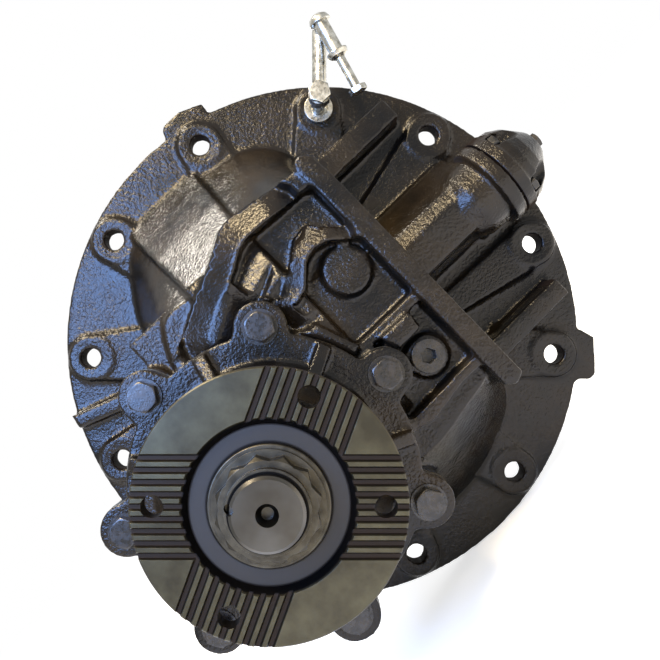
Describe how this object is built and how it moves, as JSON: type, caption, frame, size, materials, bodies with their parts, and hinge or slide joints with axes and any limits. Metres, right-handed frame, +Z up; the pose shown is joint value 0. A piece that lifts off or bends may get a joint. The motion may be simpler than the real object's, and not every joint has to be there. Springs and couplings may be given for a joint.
{
  "type": "truck differential carrier",
  "caption": "Flanged cast carrier with a forward hypoid pinion, ring gear, bevel gear differential and an air-operated lock, bolted into the front of an axle housing.",
  "frame": {"origin": "centre of the flange's mating face, on the centre of the pilot ring", "axes": "+Y out of the mating face into the axle housing, so the pinion points to -Y; +X along the axle towards the lock actuator; +Z up"},
  "size_m": [0.4905, 0.5191, 0.482],
  "materials": {
    "cast_iron": "rough sand casting under black paint",
    "gear_steel": "cut and ground case-hardened steel, oiled",
    "bearing_steel": "ground bearing steel",
    "machined_steel": "turned and milled steel, bare",
    "bolt_steel": "black oxide and paint overspray on fasteners",
    "zinc_plate": "zinc plated steel",
    "piston_alloy": "turned aluminium",
    "seal_rubber": "moulded nitrile rubber"
  },
  "bodies": {
    "carrier": {"carrier_housing": "cast_iron", "pinion_cage": "cast_iron", "cage_shim": "machined_steel", "cage_bolts": "bolt_steel", "inner_bearing_cup": "bearing_steel", "outer_bearing_cup": "bearing_steel", "oil_seal": "seal_rubber", "spigot_bearing_ring": "bearing_steel", "fill_plug": "bolt_steel", "left_bearing_cap": "cast_iron", "right_bearing_cap": "cast_iron", "cap_bolts": "bolt_steel", "left_adjusting_ring": "gear_steel", "right_adjusting_ring": "gear_steel", "adjuster_locks": "zinc_plate", "left_bearing_cup": "bearing_steel", "right_bearing_cup": "bearing_steel", "lock_cover": "cast_iron", "m8_bolts": "bolt_steel", "return_spring": "bolt_steel", "hoist_bush": "zinc_plate", "hoist_bolt": "zinc_plate", "hoist_lock_nut": "zinc_plate", "hoist_link": "zinc_plate", "cross_bolt": "zinc_plate", "dome_nuts": "zinc_plate"},
    "pinion": {"drive_pinion": "gear_steel", "companion_flange": "machined_steel", "flange_washer": "machined_steel", "pinion_nut": "machined_steel", "inner_bearing_cone": "bearing_steel", "outer_bearing_cone": "bearing_steel", "bearing_spacer": "machined_steel"},
    "inner_roller_set": {"inner_bearing_rollers": "bearing_steel"},
    "outer_roller_set": {"outer_bearing_rollers": "bearing_steel"},
    "spigot_roller_set": {"spigot_bearing_rollers": "bearing_steel"},
    "case": {"ring_gear": "gear_steel", "ring_gear_bolts": "bolt_steel", "case_plain_half": "cast_iron", "case_flange_half": "cast_iron", "case_bolts": "bolt_steel", "spider_cross": "gear_steel", "left_bearing_cone": "bearing_steel", "right_bearing_cone": "bearing_steel", "side_thrust_washers": "machined_steel", "spider_thrust_washers": "machined_steel"},
    "left_roller_set": {"left_bearing_rollers": "bearing_steel"},
    "right_roller_set": {"right_bearing_rollers": "bearing_steel"},
    "left_gear": {"left_side_gear": "gear_steel"},
    "right_gear": {"right_side_gear": "gear_steel"},
    "spider_1": {"spider_gear_1": "gear_steel"},
    "spider_2": {"spider_gear_2": "gear_steel"},
    "spider_3": {"spider_gear_3": "gear_steel"},
    "spider_4": {"spider_gear_4": "gear_steel"},
    "lock_actuator": {"shift_fork": "machined_steel", "shift_shaft": "machined_steel", "lock_piston": "piston_alloy", "piston_ring": "seal_rubber"},
    "collar": {"lock_collar": "gear_steel"}
  },
  "joints": [
    {"name": "case_spin", "type": "hinge", "parent": "carrier", "child": "case", "pos_m": [0, 0.045, 0], "axis": [1, 0, 0], "continuous": true},
    {"name": "pinion_spin", "type": "hinge", "parent": "carrier", "child": "pinion", "pos_m": [-0.101, 0, -0.0485], "axis": [0, 1, 0], "continuous": true},
    {"name": "inner_rollers_spin", "type": "hinge", "parent": "carrier", "child": "inner_roller_set", "pos_m": [-0.101, 0, -0.0485], "axis": [0, 1, 0], "continuous": true},
    {"name": "outer_rollers_spin", "type": "hinge", "parent": "carrier", "child": "outer_roller_set", "pos_m": [-0.101, 0, -0.0485], "axis": [0, 1, 0], "continuous": true},
    {"name": "spigot_rollers_spin", "type": "hinge", "parent": "carrier", "child": "spigot_roller_set", "pos_m": [-0.101, 0, -0.0485], "axis": [0, 1, 0], "continuous": true},
    {"name": "left_rollers_spin", "type": "hinge", "parent": "carrier", "child": "left_roller_set", "pos_m": [0, 0.045, 0], "axis": [1, 0, 0], "continuous": true},
    {"name": "right_rollers_spin", "type": "hinge", "parent": "carrier", "child": "right_roller_set", "pos_m": [0, 0.045, 0], "axis": [1, 0, 0], "continuous": true},
    {"name": "left_gear_spin", "type": "hinge", "parent": "case", "child": "left_gear", "pos_m": [0, 0.045, 0], "axis": [1, 0, 0], "continuous": true},
    {"name": "right_gear_spin", "type": "hinge", "parent": "case", "child": "right_gear", "pos_m": [0, 0.045, 0], "axis": [1, 0, 0], "continuous": true},
    {"name": "spider_1_spin", "type": "hinge", "parent": "case", "child": "spider_1", "pos_m": [-0.012, 0.045, 0], "axis": [0, 0, 1], "continuous": true},
    {"name": "spider_2_spin", "type": "hinge", "parent": "case", "child": "spider_2", "pos_m": [-0.012, 0.045, 0], "axis": [0, -1, 0], "continuous": true},
    {"name": "spider_3_spin", "type": "hinge", "parent": "case", "child": "spider_3", "pos_m": [-0.012, 0.045, 0], "axis": [0, 0, -1], "continuous": true},
    {"name": "spider_4_spin", "type": "hinge", "parent": "case", "child": "spider_4", "pos_m": [-0.012, 0.045, 0], "axis": [0, 1, 0], "continuous": true},
    {"name": "lock_shift", "type": "slide", "parent": "carrier", "child": "lock_actuator", "axis": [-1, 0, 0], "range_m": [0, 0.016], "deforming": ["return_spring"]},
    {"name": "collar_spin", "type": "hinge", "parent": "lock_actuator", "child": "collar", "pos_m": [0, 0.045, 0], "axis": [1, 0, 0], "continuous": true}
  ],
  "couplings": [
    {"joint": "pinion_spin", "follows": "case_spin", "ratio": 3.0833},
    {"joint": "inner_rollers_spin", "follows": "case_spin", "ratio": 1.295},
    {"joint": "outer_rollers_spin", "follows": "case_spin", "ratio": 1.295},
    {"joint": "spigot_rollers_spin", "follows": "case_spin", "ratio": 1.295},
    {"joint": "left_rollers_spin", "follows": "case_spin", "ratio": 0.44},
    {"joint": "right_rollers_spin", "follows": "case_spin", "ratio": 0.44},
    {"joint": "collar_spin", "follows": "case_spin", "ratio": 1},
    {"joint": "right_gear_spin", "follows": "left_gear_spin", "ratio": -1},
    {"joint": "spider_1_spin", "follows": "left_gear_spin", "ratio": 2},
    {"joint": "spider_2_spin", "follows": "left_gear_spin", "ratio": 2},
    {"joint": "spider_3_spin", "follows": "left_gear_spin", "ratio": 2},
    {"joint": "spider_4_spin", "follows": "left_gear_spin", "ratio": 2}
  ]
}
